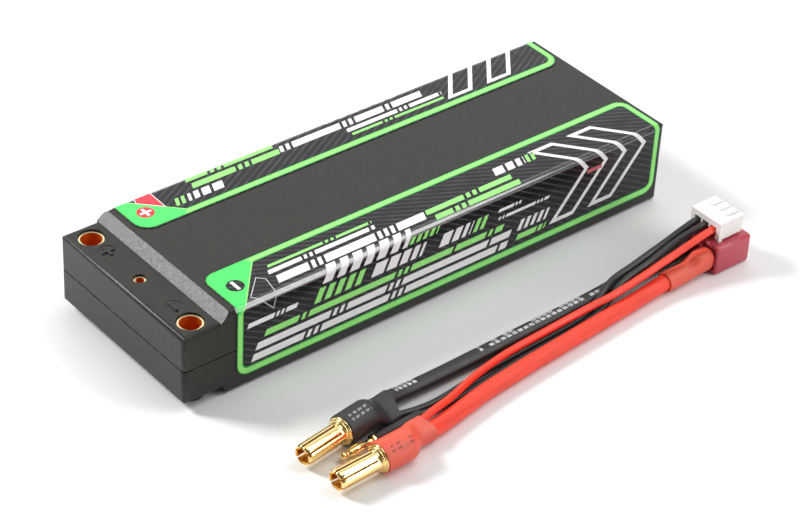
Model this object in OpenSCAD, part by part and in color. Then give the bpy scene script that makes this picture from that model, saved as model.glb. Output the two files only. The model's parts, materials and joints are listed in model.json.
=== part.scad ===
// Hard-case two-cell stick battery pack with its separate plug-in lead.
// Millimetres, +Z up. Origin: bottom centre of the case. The terminal end faces -X,
// the negative socket and its label are on the -Y side, and the lead lies along -Y.

/* [Case] */
// Length of the case along X
case_l = 139; // [136:0.5:142]
// Width of the case along Y
case_w = 46.6; // [46:0.1:47.5]
// Height of the main block
case_h = 21.6; // [21:0.1:23]
// Wall thickness of both shells
wall = 1.6; // [1.2:0.1:1.8]
// Radius of the outer edges
edge_r = 1.2; // [0.8:0.1:1.4]
// How far the terminal end steps in from the top and the bottom face
end_step = 2; // [1.6:0.1:2.2]
// Length of the flat ledge at the terminal end
ledge_l = 9.6; // [9.2:0.1:10]
// Length of the ramp between the ledge and the top face
ramp_l = 2.4; // [2:0.1:3]

/* [Terminals] */
// Bore of the two main sockets
socket_d = 5; // [4.9:0.05:5.1]
// Depth of the main sockets
socket_depth = 11.6; // [11:0.1:12]
// Bore of the balance socket
tap_d = 2; // [1.9:0.05:2.1]
// Distance of the three sockets from the end face
socket_in = 5; // [4.9:0.1:5.2]
// Distance between the two main sockets
socket_pitch = 37.2; // [36:0.1:37.4]

/* [Labels] */
// Thickness of the printed film
film_t = 0.15; // [0.1:0.05:0.2]
// Corner radius of the negative film
minus_film_r = 3.4; // [2:0.1:4]
// Corner radius of the positive film
plus_film_r = 4.2; // [2:0.1:4.5]

/* [Lead] */
// Outer diameter of the two heavy wires
main_d = 3.8; // [3.6:0.1:3.9]
// Outer diameter of the three balance wires
thin_d = 1.7; // [1.6:0.05:1.7]
// Outer diameter of the sprung barrel on the main plugs
barrel_d = 4.9; // [4.8:0.05:4.95]
// Length of the sprung barrel on the main plugs
barrel_l = 10.8; // [10:0.1:11]

/* [Hidden] */

$fn = 48;
e = 0.01;

// Case
half_l = case_l / 2;
half_w = case_w / 2;
seam_z = case_h / 2;
ledge_z = case_h - end_step;
ledge_x = -half_l + ledge_l;
ramp_x = ledge_x + ramp_l;
under_x = -half_l + 10.2;
under_run = 1.3;
lip_h = 1;
lip_t = 0.7;
groove = 0.36;
boss_r = 2.4;
boss_z = 0.3;
mark_l = 3.3;
mark_w = 0.7;
mark_t = 0.22;
mark_dish_r = 2.3;
mark_dish_t = 0.12;
mark_y = 12.3;

// Sockets
socket_x = -half_l + socket_in;
socket_y = socket_pitch / 2;
boss_y = socket_y + 0.6;
rim_z = ledge_z - 0.5;
rim_r = socket_d / 2 + 0.4;
well_r = rim_r + 0.25;
flange_r = rim_r + 0.15;
floor_t = 0.7;
stub_r = 1.6;
stub_l = 1.4;
tap_rim_r = tap_d / 2 + 0.35;
tap_well_r = tap_rim_r + 0.2;
tap_depth = 8;
hole_gap = 0.05;

// Inside: foam, cells and copper, stacked upwards from the floor of the lower shell
foam_t = 0.8;
stack_h = case_h - 2 * wall;
cell_h = (stack_h - 3 * foam_t) / 2;
cell_l = 118;
cell_w = case_w - 2 * wall - 1.6;
cell_x0 = -52;
cell_r = 1.8;
lower_cell_z = wall + foam_t;
middle_foam_z = lower_cell_z + cell_h;
upper_cell_z = middle_foam_z + foam_t;
top_foam_z = upper_cell_z + cell_h;
strip_t = 0.4;
strip_w = 7;
strip_z = rim_z - socket_depth - floor_t - stub_l - strip_t;
tap_strip_z = rim_z - tap_depth - floor_t - stub_l - strip_t;
board_t = 1.4;
flange_t = 0.8;
board_z = ledge_z - wall - flange_t - board_t;

// Labels
film_x0 = -56;
film_x1 = 68;
minus_film_y = 9.5;
plus_film_y = 11;
film_low_z = 2.9;

// Lead: places and directions of the plugs on the floor beside the pack
collar_r = 3.3;
shrink_t = 0.3;
plug_z = collar_r + shrink_t;
minus_collar = [-49.6, -50.9, plug_z];
minus_turn = 8;
plus_collar = [-48.8, -62.3, plug_z];
plus_turn = 2;
tap_collar_r = 1.4;
balance_collar = [-43.6, -55.1, tap_collar_r];
balance_turn = 3;
shrink_neck_l = 9.8;
sleeve_l = 13.4;
sleeve_r = 1.35;

// T connector
tee_x0 = 58.6;
tee_l = 10.7;
tee_y0 = -54.5;
tee_w = 13.5;
tee_h = 7.6;
tee_r = 0.8;
cup_y = [-44.6, -51.5];
cup_z = tee_h / 2;
cup_l = 4.6;
tee_shrink_x0 = 44.8;
tee_bump_x = 54.2;
tee_shrink_r = 2.35;
tee_bump_w = 4.4;
tee_bump_h = 5.2;
blade_slot = [8, 5.6, 1.5];
blade_t = 0.5;

// Balance connector
pin_pitch = 2.5;
bal_x0 = 60.3;
bal_l = 7.5;
bal_y = -47.9;
bal_w = 9.4;
bal_z0 = tee_h;
bal_h = 5.1;
bal_wire_z = bal_z0 + 2.5;
pin_y = [for (i = [1, 0, -1]) bal_y + i * pin_pitch];
crimp_box = [5.4, 1.7, 1.9];
crimp_in = 1.2;

// Routes of the five wires, end to end
black_route = [
    [-33, -47.4, 2.6], [-28, -47.1, 2.1], [-20, -47, 1.9], [-10, -46.8, 1.9], [4, -46.5, 1.9],
    [19, -46.2, 1.9], [28, -45.9, 1.9], [37, -45.3, 2], [tee_shrink_x0, cup_y[0], 2.4]
];
red_route = [
    [-32.3, -60.5, 2.4], [-28, -59.8, 2], [-21, -58.4, 1.9], [-13, -57, 1.9], [0, -55.5, 1.9],
    [12, -54.4, 1.9], [25, -53.2, 1.9], [36, -52.2, 2], [tee_shrink_x0, cup_y[1], 2.4]
];
zero_route = [
    [-34, -51.8, 1.4], [-29.5, -52.4, 1.1], [-24.5, -52.6, 0.9], [-18, -52, 0.9], [-9, -50.8, 0.9],
    [2, -50.1, 0.9], [14, -49.5, 0.9], [20, -49.2, 1.1], [24, -48.9, 2.1], [27, -48.3, 3.5],
    [30, -47.3, 4.5], [34, -46.1, 5], [40, -45.5, 5.5], [46, -45, 6.3], [51, -45, 7.5],
    [55.5, -45.2, 9], [bal_x0 - 1.2, pin_y[0], bal_wire_z], [bal_x0 + crimp_in, pin_y[0], bal_wire_z]
];
middle_route = [
    [-30.2, -54.4, 1.4], [-27, -54.6, 1.1], [-22, -54.6, 0.9], [-12, -53.6, 0.9], [0, -52.3, 0.9],
    [12, -51.5, 0.9], [20, -50.9, 0.9], [25, -50.3, 1.4], [29, -49.4, 2.7], [33, -48.4, 4.2],
    [37, -47.7, 5], [43, -47.1, 5.6], [49, -46.8, 7.1], [54.5, -47.1, 8.8],
    [bal_x0 - 1.2, pin_y[1], bal_wire_z], [bal_x0 + crimp_in, pin_y[1], bal_wire_z]
];
full_route = [
    [-33.6, -58.7, 4.4], [-29, -57.5, 4.3], [-22.5, -55.7, 3.6], [-14, -52.8, 3], [-3, -50.6, 2.8],
    [9, -49.8, 2.9], [18, -49.7, 3.4], [24, -50, 4.1], [30, -50.4, 4.8], [39, -49.8, 5.4],
    [48, -49.8, 7.2], [54, -50.1, 8.8], [bal_x0 - 1.2, pin_y[2], bal_wire_z],
    [bal_x0 + crimp_in, pin_y[2], bal_wire_z]
];

charcoal = [0.2, 0.2, 0.18];
gold = [0.9, 0.68, 0.26];

// ---- helpers ----

// Rectangle with round corners, from corner a to corner b
module round_rect(a, b, r) {
    translate([a.x + r, a.y]) square([b.x - a.x - 2 * r, b.y - a.y]);
    translate([a.x, a.y + r]) square([b.x - a.x, b.y - a.y - 2 * r]);
    for (x = [a.x + r, b.x - r], y = [a.y + r, b.y - r]) translate([x, y]) circle(r = r, $fn = 32);
}

// Block whose edges are rounded along X, Y and Z, from corner a to corner b
module round_block(a, b, r) {
    intersection() {
        translate([0, 0, a.z]) linear_extrude(b.z - a.z) round_rect([a.x, a.y], [b.x, b.y], r);
        translate([a.x, 0, 0]) rotate([90, 0, 90])
            linear_extrude(b.x - a.x) round_rect([a.y, a.z], [b.y, b.z], r);
        translate([0, b.y, 0]) rotate([90, 0, 0])
            linear_extrude(b.y - a.y) round_rect([a.x, a.z], [b.x, b.z], r);
    }
}

// Extrudes an outline drawn in X and Z along Y, between y0 and y1
module along_y(y0, y1) {
    translate([0, y1, 0]) rotate([90, 0, 0]) linear_extrude(y1 - y0) children();
}

// Straight cylinder along +X from the local origin
module rod(r, l) {
    rotate([0, 90, 0]) cylinder(r = r, h = l);
}

// Polyhedron tube swept along a route; rings stand square to the way the route turns
function unit(v) = v / norm(v);
function tangent(p, i) = unit(p[min(i + 1, len(p) - 1)] - p[max(i - 1, 0)]);
function side_of(t) = unit(cross([0, 0, 1], t));
function ring_at(c, t, r, n) =
    let (s = side_of(t), u = cross(t, s))
    [for (k = [0:n - 1]) c + r * cos(360 * k / n) * s + r * sin(360 * k / n) * u];

module tube(route, d, n = 8) {
    rings = [for (i = [0:len(route) - 1]) ring_at(route[i], tangent(route, i), d / 2, n)];
    points = [for (ring = rings) for (p = ring) p];
    last = (len(route) - 1) * n;
    walls = [
        for (i = [0:len(route) - 2], k = [0:n - 1])
            let (k2 = (k + 1) % n)
            for (f = [[0, n, n + k2 - k], [0, n + k2 - k, k2 - k]]) f + (i * n + k) * [1, 1, 1]
    ];
    caps = [[for (k = [0:n - 1]) k], [for (k = [n - 1:-1:0]) last + k]];
    polyhedron(points, concat(walls, caps), convexity = 4);
}

// ---- case ----

// Whole outside of the case: the main block, the stepped terminal end and the two slopes
module case_outside() {
    round_block([ramp_x + 1, -half_w, 0], [half_l, half_w, case_h], edge_r);
    round_block([-half_l, -half_w, end_step], [ramp_x + 5, half_w, ledge_z], edge_r);
    intersection() {
        along_y(-half_w, half_w) polygon([
            [ledge_x, seam_z], [ledge_x, ledge_z], [ramp_x, case_h], [ramp_x + 3, case_h], [ramp_x + 3, 0],
            [under_x + under_run, 0], [under_x, end_step], [under_x, seam_z]
        ]);
        rotate([90, 0, 90]) linear_extrude(case_l, center = true)
            round_rect([-half_w, 0], [half_w, case_h], edge_r);
    }
}

// Room inside the case, one wall in from the outside
module case_inside() {
    translate([ramp_x + 0.8, -half_w + wall, wall])
        cube([half_l - wall - ramp_x - 0.8, case_w - 2 * wall, stack_h]);
    translate([-half_l + wall, -half_w + wall, end_step + wall])
        cube([ramp_x + half_l, case_w - 2 * wall, ledge_z - end_step - 2 * wall]);
}

// Band at the seam, grown outwards by grow; the inner lip of the lower shell follows it
module seam_band(inset, z0, h) {
    translate([0, 0, z0]) linear_extrude(h)
        round_rect([-half_l + inset, -half_w + inset], [half_l - inset, half_w - inset], edge_r);
}

module groove_cut(z0) {
    difference() {
        seam_band(-1, z0, groove / 2);
        seam_band(groove, z0 - 1, 3);
    }
}

module lip(gap) {
    difference() {
        seam_band(wall - lip_t - gap, seam_z - e, lip_h + gap + e);
        translate([0, 0, -1]) seam_band(wall, seam_z, 4);
    }
}

// Slab over the whole footprint between two heights
module slab(z0, z1) {
    translate([-case_l, -case_w, z0]) cube([2 * case_l, 2 * case_w, z1 - z0]);
}

module lower_shell() color(charcoal) {
    difference() {
        case_outside();
        slab(seam_z, 2 * case_h);
        case_inside();
        groove_cut(seam_z - groove / 2);
    }
    for (s = [-1, 1])
        translate([socket_x, s * boss_y, boss_z])
            cylinder(r = boss_r, h = end_step + wall - boss_z);
    lip(0);
}

// Raised bar of a polarity mark, standing in its shallow round dish in the ledge
module mark_bar(l, w) {
    translate([-l / 2, -w / 2, -mark_dish_t - e]) cube([l, w, mark_dish_t + mark_t + e]);
}

module upper_shell() color(charcoal) {
    difference() {
        case_outside();
        slab(-1, seam_z);
        case_inside();
        groove_cut(seam_z);
        lip(0.1);
        for (s = [-1, 1]) translate([socket_x, s * socket_y, 0]) {
            translate([0, 0, seam_z]) cylinder(r = rim_r + hole_gap, h = case_h);
            translate([0, 0, rim_z - 0.1]) cylinder(r = well_r, h = case_h);
        }
        translate([socket_x, 0, seam_z]) cylinder(r = tap_rim_r + hole_gap, h = case_h);
        translate([socket_x, 0, rim_z - 0.1]) cylinder(r = tap_well_r, h = case_h);
        for (s = [-1, 1])
            translate([socket_x, s * mark_y, ledge_z - mark_dish_t]) cylinder(r = mark_dish_r, h = case_h);
    }
    translate([socket_x, mark_y, ledge_z]) {
        mark_bar(mark_l, mark_w);
        mark_bar(mark_w, mark_l);
    }
    translate([socket_x, -mark_y, ledge_z]) mark_bar(mark_w, mark_l);
}

// ---- cells and foam ----

module cell(z) {
    round_block([cell_x0, -cell_w / 2, z], [cell_x0 + cell_l, cell_w / 2, z + cell_h], cell_r);
}

module cell_lower() color("silver") cell(lower_cell_z);
module cell_upper() color("silver") cell(upper_cell_z);

module foam(z) {
    translate([cell_x0, -cell_w / 2, z]) cube([cell_l, cell_w, foam_t]);
}

module foam_bottom() color("dimgray") foam(wall);
module foam_middle() color("dimgray") foam(middle_foam_z);
module foam_top() color("dimgray") foam(top_foam_z);

// ---- terminals ----

module terminal_board() color("darkgreen") difference() {
    translate([-half_l + wall + 0.3, -half_w + wall + 0.5, board_z])
        cube([9.4, case_w - 2 * wall - 1, board_t]);
    for (s = [-1, 1]) translate([socket_x, s * socket_y, 0]) cylinder(r = rim_r + hole_gap, h = case_h);
    translate([socket_x, 0, 0]) cylinder(r = tap_rim_r + hole_gap, h = case_h);
}

// Closed tube with its mouth at rim_z, a flange that rests on the board and a stub below
module socket(bore_r, outer_r, depth, flange, stub) {
    floor_z = rim_z - depth - floor_t;
    difference() {
        union() {
            translate([0, 0, floor_z]) cylinder(r = outer_r, h = depth + floor_t);
            translate([0, 0, board_z + board_t]) cylinder(r = flange, h = flange_t);
            translate([0, 0, floor_z - stub_l]) cylinder(r = stub, h = stub_l + e);
        }
        translate([0, 0, rim_z - depth]) cylinder(r = bore_r, h = depth + 1);
    }
}

module main_socket(s) {
    translate([socket_x, s * socket_y, 0]) socket(socket_d / 2, rim_r, socket_depth, flange_r, stub_r);
}

module plus_socket() color(gold) main_socket(1);
module minus_socket() color(gold) main_socket(-1);
module balance_socket() color(gold)
    translate([socket_x, 0, 0]) socket(tap_d / 2, tap_rim_r, tap_depth, tap_rim_r + 0.4, 0.7);

// Strip of copper outlined in X and Z, centred on y
module strip(y, outline) {
    along_y(y - strip_w / 2, y + strip_w / 2) polygon(outline);
}

// Side outline of a strip that runs under a socket and stands up to a cell tab at height z1
module cell_strip(y, z1) {
    x0 = socket_x - 2;
    x1 = cell_x0 - 2.4;
    strip(y, [
        [x0, strip_z], [x1 + strip_t, strip_z], [x1 + strip_t, z1], [cell_x0, z1],
        [cell_x0, z1 + strip_t], [x1, z1 + strip_t], [x1, strip_z + strip_t], [x0, strip_z + strip_t]
    ]);
}

module plus_tab() color("orange") cell_strip(socket_y - 0.6, upper_cell_z + cell_h / 2);
module minus_tab() color("orange") cell_strip(-socket_y + 0.6, lower_cell_z + cell_h / 2);

module series_link() color("orange") {
    x1 = cell_x0 - 2.4;
    z0 = lower_cell_z + cell_h / 2;
    z1 = upper_cell_z + cell_h / 2;
    strip(0, [
        [cell_x0, z0], [cell_x0, z0 + strip_t], [x1 + strip_t, z0 + strip_t], [x1 + strip_t, z1],
        [cell_x0, z1], [cell_x0, z1 + strip_t], [x1, z1 + strip_t], [x1, z0]
    ]);
    translate([socket_x - 1, -1.2, tap_strip_z]) cube([x1 - socket_x + 1 + e, 2.4, strip_t]);
}

// ---- labels ----

// Film that starts on the top face, turns over the long edge and ends low on the -Y side
module side_label(top_y, r) {
    intersection() {
        translate([film_x0, 0, 0]) rotate([90, 0, 90]) linear_extrude(film_x1 - film_x0) {
            translate([-half_w + edge_r, case_h]) square([half_w - edge_r - top_y, film_t]);
            translate([-half_w - film_t, film_low_z]) square([film_t, case_h - edge_r - film_low_z]);
            translate([-half_w + edge_r, case_h - edge_r]) intersection() {
                difference() {
                    circle(r = edge_r + film_t);
                    circle(r = edge_r);
                }
                translate([-5, 0]) square(5);
            }
        }
        translate([0, 0, -1]) linear_extrude(case_h + 5)
            round_rect([film_x0, -2 * case_w], [film_x1, -top_y], r);
        along_y(-case_w, case_w) round_rect([film_x0, film_low_z], [film_x1, 3 * case_h], r);
    }
}

module minus_label() color("limegreen") side_label(minus_film_y, minus_film_r);
module plus_label() color("limegreen") mirror([0, 1, 0]) side_label(plus_film_y, plus_film_r);

// ---- plugs ----

// Main plug along +X: six sprung leaves from -barrel_l to 0, then the collar and the solder cup
module main_plug() {
    leaf_slot = 0.4;
    slot_turn = 22;
    difference() {
        union() {
            translate([-barrel_l, 0, 0]) rotate([0, 90, 0]) rotate_extrude() polygon([
                [0, 0], [barrel_d / 2 - 0.5, 0], [barrel_d / 2 - 0.1, 0.4], [barrel_d / 2, 1],
                [barrel_d / 2, barrel_l + e], [0, barrel_l + e]
            ]);
            rod(2.9, 0.6);
            translate([0.5, 0, 0]) rod(collar_r, 0.8);
            translate([1.2, 0, 0]) rod(collar_r - 0.2, 7);
        }
        translate([-barrel_l - 1, 0, 0]) rod(1.55, barrel_l - 0.4);
        for (a = [0, 60, 120]) rotate([a + slot_turn, 0, 0])
            translate([-barrel_l - 1, -leaf_slot / 2, -barrel_d]) cube([barrel_l, leaf_slot, 2 * barrel_d]);
        translate([3.4, 0, 0]) rod(2.4, 6);
    }
}

module minus_plug() color(gold) translate(minus_collar) rotate([0, 0, minus_turn]) main_plug();
module plus_plug() color(gold) translate(plus_collar) rotate([0, 0, plus_turn]) main_plug();

// Balance plug along +X: a 2 mm lantern with a round nose, then its collar and tail
module balance_plug() color(gold) translate(balance_collar) rotate([0, 0, balance_turn]) {
    rotate([0, 90, 0]) rotate_extrude() polygon([
        [0, -9], [0.5, -8.9], [0.85, -8.4], [0.85, -7.9], [0.65, -7.5], [0.8, -6.8], [1, -5.6], [1.1, -4.4],
        [1, -3.2], [0.8, -2.2], [0.65, -1.6], [0.8, -1.4], [0.8, -0.5], [tap_collar_r, -0.4],
        [tap_collar_r, 0.3], [1, 0.4],
        [1, 3], [0, 3]
    ]);
}

// Heat shrink of a main plug: over the cup, then drawn down over the wires at its far end
module plug_shrink(far) {
    r = collar_r + shrink_t;
    difference() {
        union() {
            translate([0.9, 0, 0]) rod(r, shrink_neck_l - 1);
            hull() {
                translate([shrink_neck_l - 0.8, 0, 0]) rotate([0, 90, 0])
                    cylinder(r = r - 0.15, h = 0.1, $fn = 32);
                for (c = far) translate([c[3], c.x, c.y]) rotate([0, 90, 0])
                    cylinder(r = c.z, h = 0.1, $fn = 32);
            }
        }
        rod(collar_r, 1.3 + hole_gap);
        translate([1, 0, 0]) rod(collar_r - 0.2 + hole_gap, 7.3);
    }
}

// The far end of each shrink as circles: side offset, height offset, radius and distance
minus_far = [[1.1, -1, 2.2, 16.6], [-3.1, -2.2, 1.15, 15.2]];
plus_far = [[1.2, -1.2, 2.25, 16.4], [3.1, 0.8, 1.15, 15.2]];

module minus_shrink() color([0.13, 0.13, 0.13])
    translate(minus_collar) rotate([0, 0, minus_turn]) plug_shrink(minus_far);
module plus_shrink() color([0.85, 0.35, 0.28])
    translate(plus_collar) rotate([0, 0, plus_turn]) plug_shrink(plus_far);

module balance_sleeve() color([0.15, 0.13, 0.13])
    translate(balance_collar) rotate([0, 0, balance_turn]) difference() {
        translate([0.4, 0, 0]) rod(sleeve_r, sleeve_l - 0.4);
        rod(1 + hole_gap, 3 + hole_gap);
    }

// ---- wires ----

module black_wire() color([0.1, 0.1, 0.1]) tube(black_route, main_d, 10);
module red_wire() color([0.95, 0.2, 0.1]) tube(red_route, main_d, 10);
module zero_wire() color([0.1, 0.1, 0.1]) tube(zero_route, thin_d);
module middle_wire() color([0.1, 0.1, 0.1]) tube(middle_route, thin_d);
module full_wire() color([0.95, 0.2, 0.1]) tube(full_route, thin_d);

// ---- T connector ----

// Cross-section of the housing in Y and Z: square near corners, a half-round far side
module tee_outline() {
    round_rect([tee_y0, 0], [tee_y0 + tee_w - tee_h / 2, tee_h], tee_r);
    translate([tee_y0 + tee_w - tee_h / 2 - 2, 0]) square([2, tee_h]);
    translate([tee_y0 + tee_w - tee_h / 2, tee_h / 2]) circle(r = tee_h / 2);
}

module tee_housing() color([0.75, 0.35, 0.4]) difference() {
    translate([tee_x0, 0, 0]) rotate([90, 0, 90]) linear_extrude(tee_l) tee_outline();
    translate([tee_x0 + tee_l - blade_slot.x, cup_y[1] - blade_slot.z / 2, cup_z - blade_slot.y / 2])
        cube([blade_slot.x + 1, blade_slot.z, blade_slot.y]);
    translate([tee_x0 + tee_l - blade_slot.x, cup_y[0] - 1 - blade_slot.y / 2, cup_z - blade_slot.z / 2])
        cube([blade_slot.x + 1, blade_slot.y, blade_slot.z]);
    translate([tee_x0 - 1, cup_y[1] - blade_t / 2, cup_z - 2]) cube([tee_l, blade_t, 4]);
    translate([tee_x0 - 1, cup_y[0] - 2, cup_z - blade_t / 2]) cube([tee_l, 4, blade_t]);
}

module tee_plus_contact() color(gold)
    translate([tee_x0 - cup_l, cup_y[1] - blade_t / 2, cup_z - 2]) cube([cup_l + tee_l - 1.2, blade_t, 4]);
module tee_minus_contact() color(gold)
    translate([tee_x0 - cup_l, cup_y[0] - 2, cup_z - blade_t / 2]) cube([cup_l + tee_l - 1.2, 4, blade_t]);

// Heat shrink from the wire to the housing, with a flat-sided swelling over the contact
module tee_shrink(y, blade) {
    difference() {
        union() {
            hull() {
                translate([tee_shrink_x0, y, tee_shrink_r]) rotate([0, 90, 0])
                    cylinder(r = tee_shrink_r, h = 0.1, $fn = 32);
                translate([tee_bump_x - 2.5, y, tee_shrink_r + 0.2]) rotate([0, 90, 0])
                    cylinder(r = tee_shrink_r, h = 0.1, $fn = 32);
            }
            hull() {
                translate([tee_bump_x - 2.5, y, tee_shrink_r + 0.2]) rotate([0, 90, 0])
                    cylinder(r = tee_shrink_r, h = 0.1, $fn = 32);
                translate([tee_bump_x, y - tee_bump_w / 2, cup_z - tee_bump_h / 2])
                    cube([tee_x0 - tee_bump_x, tee_bump_w, tee_bump_h]);
            }
        }
        translate([tee_x0 - cup_l - hole_gap, y - blade.x / 2, cup_z - blade.y / 2])
            cube([cup_l + 1, blade.x, blade.y]);
    }
}

module tee_plus_shrink() color([0.85, 0.35, 0.28]) tee_shrink(cup_y[1], [blade_t, 4]);
module tee_minus_shrink() color([0.13, 0.13, 0.13]) tee_shrink(cup_y[0], [4, blade_t]);

// ---- balance connector ----

module balance_housing() color("white") {
    room = crimp_box + 2 * hole_gap * [1, 1, 1];
    difference() {
        union() {
            translate([bal_x0, bal_y - bal_w / 2, bal_z0 + 0.5]) cube([bal_l, bal_w, bal_h - 0.5]);
            for (s = [-1, 1]) translate([bal_x0, bal_y + s * (bal_w - 0.9) / 2 - 0.45, bal_z0])
                cube([1.2, 0.9, 1]);
            for (y = pin_y) translate([bal_x0 + bal_l - 3.4, y - 0.6, bal_z0 + bal_h - e])
                cube([3, 1.2, 0.4 + e]);
        }
        for (y = pin_y) translate([bal_x0, y, bal_wire_z]) {
            translate([-1, -room.y / 2, -room.z / 2]) cube([bal_l + 0.6, room.y, room.z]);
            translate([bal_l - 1, -0.4, -0.4]) cube([2, 0.8, 0.8]);
            translate([-1, -0.8, -4]) cube([3, 1.6, 3]);
        }
    }
}

// Crimp terminal: a box that holds the pin, behind it the barrel on the wire's end
module crimp(y) color(gold) translate([bal_x0 + crimp_in, y, bal_wire_z]) difference() {
    translate([0, -crimp_box.y / 2, -crimp_box.z / 2]) cube(crimp_box);
    translate([1.5, -0.5, -0.5]) cube([5, 1, 1]);
}

module crimp_zero() crimp(pin_y[0]);
module crimp_middle() crimp(pin_y[1]);
module crimp_full() crimp(pin_y[2]);

lower_shell();
upper_shell();
cell_lower();
cell_upper();
foam_bottom();
foam_middle();
foam_top();
terminal_board();
plus_socket();
minus_socket();
balance_socket();
plus_tab();
minus_tab();
series_link();
minus_label();
plus_label();
minus_plug();
plus_plug();
balance_plug();
minus_shrink();
plus_shrink();
balance_sleeve();
black_wire();
red_wire();
zero_wire();
middle_wire();
full_wire();
tee_housing();
tee_minus_contact();
tee_plus_contact();
tee_minus_shrink();
tee_plus_shrink();
balance_housing();
crimp_zero();
crimp_middle();
crimp_full();
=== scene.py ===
"""Looks of the two-cell hard-case battery pack and its plug-in lead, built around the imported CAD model.

Lengths in the tables are millimetres in the CAD frame; mm() turns them into metres.
"""

import json
import math

import bmesh
import bpy
from mathutils import Matrix, Vector
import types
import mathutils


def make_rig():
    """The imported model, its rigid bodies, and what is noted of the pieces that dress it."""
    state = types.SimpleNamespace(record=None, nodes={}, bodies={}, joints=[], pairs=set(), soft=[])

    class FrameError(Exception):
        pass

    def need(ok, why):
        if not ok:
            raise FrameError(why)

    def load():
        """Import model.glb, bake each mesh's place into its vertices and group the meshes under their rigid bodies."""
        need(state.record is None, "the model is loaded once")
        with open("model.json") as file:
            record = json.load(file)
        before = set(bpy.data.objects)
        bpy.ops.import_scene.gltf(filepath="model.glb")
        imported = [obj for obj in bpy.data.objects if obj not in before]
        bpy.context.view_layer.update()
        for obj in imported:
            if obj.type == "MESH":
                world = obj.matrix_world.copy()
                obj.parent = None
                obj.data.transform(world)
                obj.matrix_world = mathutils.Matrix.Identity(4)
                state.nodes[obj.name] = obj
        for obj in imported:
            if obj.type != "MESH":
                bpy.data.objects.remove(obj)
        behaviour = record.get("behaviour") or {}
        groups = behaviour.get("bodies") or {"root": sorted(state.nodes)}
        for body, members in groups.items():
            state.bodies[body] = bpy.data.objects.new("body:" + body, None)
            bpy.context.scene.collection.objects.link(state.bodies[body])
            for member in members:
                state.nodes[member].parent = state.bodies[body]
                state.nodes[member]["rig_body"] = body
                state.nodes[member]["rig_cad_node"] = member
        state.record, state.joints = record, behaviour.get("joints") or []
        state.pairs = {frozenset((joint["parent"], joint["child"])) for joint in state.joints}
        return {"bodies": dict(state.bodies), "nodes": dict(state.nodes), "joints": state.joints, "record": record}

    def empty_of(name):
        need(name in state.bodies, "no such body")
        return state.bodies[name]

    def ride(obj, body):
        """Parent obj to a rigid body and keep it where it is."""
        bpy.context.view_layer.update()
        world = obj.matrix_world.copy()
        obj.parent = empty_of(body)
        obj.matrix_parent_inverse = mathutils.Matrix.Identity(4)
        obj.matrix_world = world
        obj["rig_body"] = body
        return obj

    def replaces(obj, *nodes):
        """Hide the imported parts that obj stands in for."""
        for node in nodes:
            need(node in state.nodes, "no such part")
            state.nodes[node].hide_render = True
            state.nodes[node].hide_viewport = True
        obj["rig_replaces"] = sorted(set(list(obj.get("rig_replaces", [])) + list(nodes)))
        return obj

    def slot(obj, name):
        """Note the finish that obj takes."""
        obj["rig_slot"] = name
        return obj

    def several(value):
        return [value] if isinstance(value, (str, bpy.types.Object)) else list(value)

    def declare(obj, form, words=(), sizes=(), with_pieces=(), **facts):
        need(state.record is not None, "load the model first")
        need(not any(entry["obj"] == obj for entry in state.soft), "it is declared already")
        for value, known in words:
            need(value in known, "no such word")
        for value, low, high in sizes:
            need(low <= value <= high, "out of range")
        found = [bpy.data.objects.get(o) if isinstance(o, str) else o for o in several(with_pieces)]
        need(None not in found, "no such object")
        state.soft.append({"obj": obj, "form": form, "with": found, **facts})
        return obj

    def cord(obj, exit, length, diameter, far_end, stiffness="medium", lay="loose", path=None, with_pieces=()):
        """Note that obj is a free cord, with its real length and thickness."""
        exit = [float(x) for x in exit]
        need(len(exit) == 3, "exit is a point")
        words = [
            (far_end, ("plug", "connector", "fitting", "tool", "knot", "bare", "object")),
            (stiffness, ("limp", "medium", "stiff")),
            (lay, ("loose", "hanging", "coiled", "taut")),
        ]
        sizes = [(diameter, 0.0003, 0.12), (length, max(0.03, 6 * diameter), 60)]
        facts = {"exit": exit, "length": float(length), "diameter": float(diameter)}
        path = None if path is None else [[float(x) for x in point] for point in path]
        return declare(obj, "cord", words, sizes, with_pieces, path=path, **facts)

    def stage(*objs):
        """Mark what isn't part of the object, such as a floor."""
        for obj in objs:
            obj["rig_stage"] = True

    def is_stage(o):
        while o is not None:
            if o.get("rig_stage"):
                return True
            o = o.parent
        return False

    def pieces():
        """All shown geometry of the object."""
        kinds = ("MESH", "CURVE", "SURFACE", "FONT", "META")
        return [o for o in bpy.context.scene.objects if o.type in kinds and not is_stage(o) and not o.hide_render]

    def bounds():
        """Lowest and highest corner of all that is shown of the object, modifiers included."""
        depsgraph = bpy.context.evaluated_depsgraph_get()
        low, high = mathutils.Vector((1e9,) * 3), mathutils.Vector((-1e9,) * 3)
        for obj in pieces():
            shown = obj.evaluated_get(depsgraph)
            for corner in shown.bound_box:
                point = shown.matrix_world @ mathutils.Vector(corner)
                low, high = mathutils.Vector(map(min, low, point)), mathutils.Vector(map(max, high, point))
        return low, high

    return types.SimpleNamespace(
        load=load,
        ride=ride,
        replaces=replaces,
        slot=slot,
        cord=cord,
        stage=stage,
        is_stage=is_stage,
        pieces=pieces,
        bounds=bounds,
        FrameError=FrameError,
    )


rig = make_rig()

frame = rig.load()
cad_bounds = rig.bounds()
scene = bpy.context.scene
TAU = 2 * math.pi


def mm(*values):
    """Millimetres to metres: one number, or a point."""
    scaled = [v * 0.001 for v in values]
    return scaled[0] if len(scaled) == 1 else Vector(scaled)


# ---------------------------------------------------------------- camera

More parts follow.
